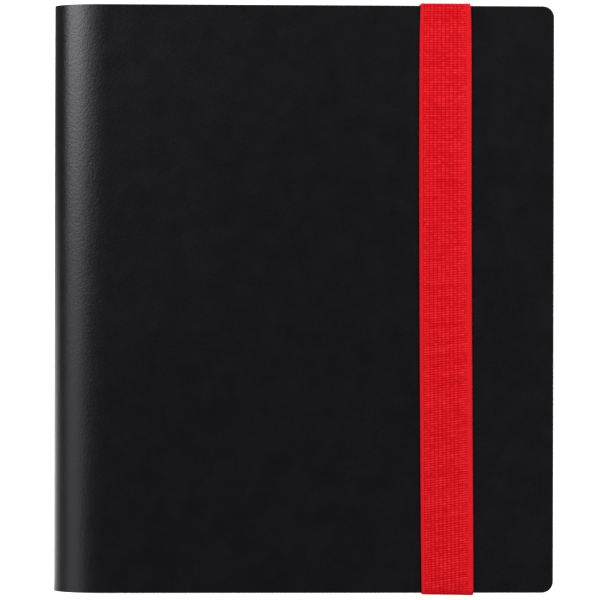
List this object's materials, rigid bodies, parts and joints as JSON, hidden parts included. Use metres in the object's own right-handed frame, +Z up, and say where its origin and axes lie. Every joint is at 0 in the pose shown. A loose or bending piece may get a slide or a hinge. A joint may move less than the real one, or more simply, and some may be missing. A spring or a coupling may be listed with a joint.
{
  "type": "trading card binder",
  "caption": "Closed side-loading card album with a matte black cover rounded at its spine, clear pocket leaves inside and a red elastic strap near the fore-edge.",
  "frame": {"origin": "middle of the closed binder's footprint, on the surface that it lies on", "axes": "+X from the spine to the fore-edge, +Y from the tail to the head, +Z up through the thickness, from the back cover to the front cover"},
  "size_m": [0.184, 0.2178, 0.0289],
  "materials": {
    "cover_sheet": "matte black polypropylene sheet with a very fine grain",
    "elastic": "red woven elastic with raised selvedges",
    "leaf_sheet": "black polypropylene film",
    "pocket_film": "clear polypropylene film, heat welded",
    "binding": "black extruded polypropylene",
    "anchor": "black moulded polypropylene"
  },
  "bodies": {
    "back_cover": {"back_cover": "cover_sheet", "strap_anchor_head": "anchor", "strap_anchor_tail": "anchor"},
    "spine": {"spine_panel": "cover_sheet", "binding_strip": "binding"},
    "front_cover": {"front_cover": "cover_sheet"},
    "strap": {"elastic_strap": "elastic"},
    "leaf_01": {"leaf_01_sheet": "leaf_sheet", "leaf_01_pockets": "pocket_film"},
    "leaf_02": {"leaf_02_sheet": "leaf_sheet", "leaf_02_pockets": "pocket_film"},
    "leaf_03": {"leaf_03_sheet": "leaf_sheet", "leaf_03_pockets": "pocket_film"},
    "leaf_04": {"leaf_04_sheet": "leaf_sheet", "leaf_04_pockets": "pocket_film"},
    "leaf_05": {"leaf_05_sheet": "leaf_sheet", "leaf_05_pockets": "pocket_film"},
    "leaf_06": {"leaf_06_sheet": "leaf_sheet", "leaf_06_pockets": "pocket_film"},
    "leaf_07": {"leaf_07_sheet": "leaf_sheet", "leaf_07_pockets": "pocket_film"},
    "leaf_08": {"leaf_08_sheet": "leaf_sheet", "leaf_08_pockets": "pocket_film"},
    "leaf_09": {"leaf_09_sheet": "leaf_sheet", "leaf_09_pockets": "pocket_film"},
    "leaf_10": {"leaf_10_sheet": "leaf_sheet", "leaf_10_pockets": "pocket_film"},
    "leaf_11": {"leaf_11_sheet": "leaf_sheet", "leaf_11_pockets": "pocket_film"},
    "leaf_12": {"leaf_12_sheet": "leaf_sheet", "leaf_12_pockets": "pocket_film"},
    "leaf_13": {"leaf_13_sheet": "leaf_sheet", "leaf_13_pockets": "pocket_film"},
    "leaf_14": {"leaf_14_sheet": "leaf_sheet", "leaf_14_pockets": "pocket_film"},
    "leaf_15": {"leaf_15_sheet": "leaf_sheet", "leaf_15_pockets": "pocket_film"},
    "leaf_16": {"leaf_16_sheet": "leaf_sheet", "leaf_16_pockets": "pocket_film"},
    "leaf_17": {"leaf_17_sheet": "leaf_sheet", "leaf_17_pockets": "pocket_film"},
    "leaf_18": {"leaf_18_sheet": "leaf_sheet", "leaf_18_pockets": "pocket_film"},
    "leaf_19": {"leaf_19_sheet": "leaf_sheet", "leaf_19_pockets": "pocket_film"},
    "leaf_20": {"leaf_20_sheet": "leaf_sheet", "leaf_20_pockets": "pocket_film"}
  },
  "joints": [
    {"name": "spine_fold", "type": "hinge", "parent": "back_cover", "child": "spine", "pos_m": [-0.092, 0, 0.0095], "axis": [0, -1, 0], "range_deg": [0, 90]},
    {"name": "front_cover_fold", "type": "hinge", "parent": "spine", "child": "front_cover", "pos_m": [-0.092, 0, 0.0185], "axis": [0, -1, 0], "range_deg": [0, 90]},
    {"name": "strap_relax", "type": "slide", "parent": "back_cover", "child": "strap", "axis": [0, 0, -1], "range_m": [0, 0.0249], "deforming": ["elastic_strap"]},
    {"name": "leaf_01_turn", "type": "hinge", "parent": "spine", "child": "leaf_01", "pos_m": [-0.07885, 0, 0.0026], "axis": [0, -1, 0], "range_deg": [-80, 0]},
    {"name": "leaf_02_turn", "type": "hinge", "parent": "spine", "child": "leaf_02", "pos_m": [-0.07885, 0, 0.0038], "axis": [0, -1, 0], "range_deg": [-76.2, 0]},
    {"name": "leaf_03_turn", "type": "hinge", "parent": "spine", "child": "leaf_03", "pos_m": [-0.07885, 0, 0.005], "axis": [0, -1, 0], "range_deg": [-72.4, 0]},
    {"name": "leaf_04_turn", "type": "hinge", "parent": "spine", "child": "leaf_04", "pos_m": [-0.07885, 0, 0.0062], "axis": [0, -1, 0], "range_deg": [-68.6, 0]},
    {"name": "leaf_05_turn", "type": "hinge", "parent": "spine", "child": "leaf_05", "pos_m": [-0.07885, 0, 0.0074], "axis": [0, -1, 0], "range_deg": [-64.8, 0]},
    {"name": "leaf_06_turn", "type": "hinge", "parent": "spine", "child": "leaf_06", "pos_m": [-0.07885, 0, 0.0086], "axis": [0, -1, 0], "range_deg": [-61, 0]},
    {"name": "leaf_07_turn", "type": "hinge", "parent": "spine", "child": "leaf_07", "pos_m": [-0.07885, 0, 0.0098], "axis": [0, -1, 0], "range_deg": [-57.2, 0]},
    {"name": "leaf_08_turn", "type": "hinge", "parent": "spine", "child": "leaf_08", "pos_m": [-0.07885, 0, 0.011], "axis": [0, -1, 0], "range_deg": [-53.4, 0]},
    {"name": "leaf_09_turn", "type": "hinge", "parent": "spine", "child": "leaf_09", "pos_m": [-0.07885, 0, 0.0122], "axis": [0, -1, 0], "range_deg": [-49.6, 0]},
    {"name": "leaf_10_turn", "type": "hinge", "parent": "spine", "child": "leaf_10", "pos_m": [-0.07885, 0, 0.0134], "axis": [0, -1, 0], "range_deg": [-45.8, 0]},
    {"name": "leaf_11_turn", "type": "hinge", "parent": "spine", "child": "leaf_11", "pos_m": [-0.07885, 0, 0.0146], "axis": [0, -1, 0], "range_deg": [0, 45.8]},
    {"name": "leaf_12_turn", "type": "hinge", "parent": "spine", "child": "leaf_12", "pos_m": [-0.07885, 0, 0.0158], "axis": [0, -1, 0], "range_deg": [0, 49.6]},
    {"name": "leaf_13_turn", "type": "hinge", "parent": "spine", "child": "leaf_13", "pos_m": [-0.07885, 0, 0.017], "axis": [0, -1, 0], "range_deg": [0, 53.4]},
    {"name": "leaf_14_turn", "type": "hinge", "parent": "spine", "child": "leaf_14", "pos_m": [-0.07885, 0, 0.0182], "axis": [0, -1, 0], "range_deg": [0, 57.2]},
    {"name": "leaf_15_turn", "type": "hinge", "parent": "spine", "child": "leaf_15", "pos_m": [-0.07885, 0, 0.0194], "axis": [0, -1, 0], "range_deg": [0, 61]},
    {"name": "leaf_16_turn", "type": "hinge", "parent": "spine", "child": "leaf_16", "pos_m": [-0.07885, 0, 0.0206], "axis": [0, -1, 0], "range_deg": [0, 64.8]},
    {"name": "leaf_17_turn", "type": "hinge", "parent": "spine", "child": "leaf_17", "pos_m": [-0.07885, 0, 0.0218], "axis": [0, -1, 0], "range_deg": [0, 68.6]},
    {"name": "leaf_18_turn", "type": "hinge", "parent": "spine", "child": "leaf_18", "pos_m": [-0.07885, 0, 0.023], "axis": [0, -1, 0], "range_deg": [0, 72.4]},
    {"name": "leaf_19_turn", "type": "hinge", "parent": "spine", "child": "leaf_19", "pos_m": [-0.07885, 0, 0.0242], "axis": [0, -1, 0], "range_deg": [0, 76.2]},
    {"name": "leaf_20_turn", "type": "hinge", "parent": "spine", "child": "leaf_20", "pos_m": [-0.07885, 0, 0.0254], "axis": [0, -1, 0], "range_deg": [0, 80]}
  ],
  "couplings": [
    {"joint": "front_cover_fold", "follows": "spine_fold", "ratio": 1},
    {"joint": "strap_relax", "follows": "spine_fold", "m_per_rad": 0.015852},
    {"joint": "leaf_01_turn", "follows": "spine_fold", "ratio": -0.88889},
    {"joint": "leaf_02_turn", "follows": "spine_fold", "ratio": -0.84667},
    {"joint": "leaf_03_turn", "follows": "spine_fold", "ratio": -0.80444},
    {"joint": "leaf_04_turn", "follows": "spine_fold", "ratio": -0.76222},
    {"joint": "leaf_05_turn", "follows": "spine_fold", "ratio": -0.72},
    {"joint": "leaf_06_turn", "follows": "spine_fold", "ratio": -0.67778},
    {"joint": "leaf_07_turn", "follows": "spine_fold", "ratio": -0.63556},
    {"joint": "leaf_08_turn", "follows": "spine_fold", "ratio": -0.59333},
    {"joint": "leaf_09_turn", "follows": "spine_fold", "ratio": -0.55111},
    {"joint": "leaf_10_turn", "follows": "spine_fold", "ratio": -0.50889},
    {"joint": "leaf_11_turn", "follows": "spine_fold", "ratio": 0.50889},
    {"joint": "leaf_12_turn", "follows": "spine_fold", "ratio": 0.55111},
    {"joint": "leaf_13_turn", "follows": "spine_fold", "ratio": 0.59333},
    {"joint": "leaf_14_turn", "follows": "spine_fold", "ratio": 0.63556},
    {"joint": "leaf_15_turn", "follows": "spine_fold", "ratio": 0.67778},
    {"joint": "leaf_16_turn", "follows": "spine_fold", "ratio": 0.72},
    {"joint": "leaf_17_turn", "follows": "spine_fold", "ratio": 0.76222},
    {"joint": "leaf_18_turn", "follows": "spine_fold", "ratio": 0.80444},
    {"joint": "leaf_19_turn", "follows": "spine_fold", "ratio": 0.84667},
    {"joint": "leaf_20_turn", "follows": "spine_fold", "ratio": 0.88889}
  ]
}
